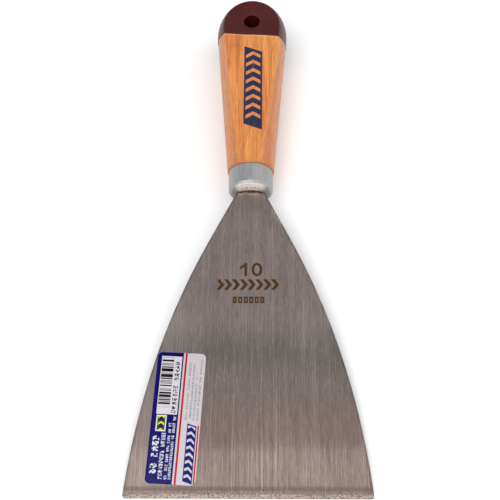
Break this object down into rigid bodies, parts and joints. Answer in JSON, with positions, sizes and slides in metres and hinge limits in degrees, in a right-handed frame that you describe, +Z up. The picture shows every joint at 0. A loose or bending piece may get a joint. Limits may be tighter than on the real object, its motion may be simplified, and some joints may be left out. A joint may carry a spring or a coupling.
{
  "type": "putty knife",
  "caption": "Broad forged stopping knife with a flared steel blade, plain round ferrule and turned wooden handle with two flats and a dipped butt.",
  "frame": {"origin": "middle of the footprint, on the table that the knife lies on; its back is down, and it rests on its cutting edge and on the lower corner of the ferrule", "axes": "+Y from the cutting edge to the butt, +X across the blade, +Z up, out of the table; the knife's own axis rises 4 degrees towards the butt"},
  "size_m": [0.0998, 0.2494, 0.0282],
  "materials": {
    "blade_steel": "ground along the blade, satin",
    "zinc_plate": "zinc plated, matte",
    "varnished_wood": "clear varnish, satin",
    "maroon_coat": "dipped lacquer, semi-gloss",
    "label_film": "printed film"
  },
  "bodies": {
    "root": {"blade": "blade_steel", "ferrule": "zinc_plate", "handle": "varnished_wood", "butt_coat": "maroon_coat", "label": "label_film"}
  },
  "joints": []
}
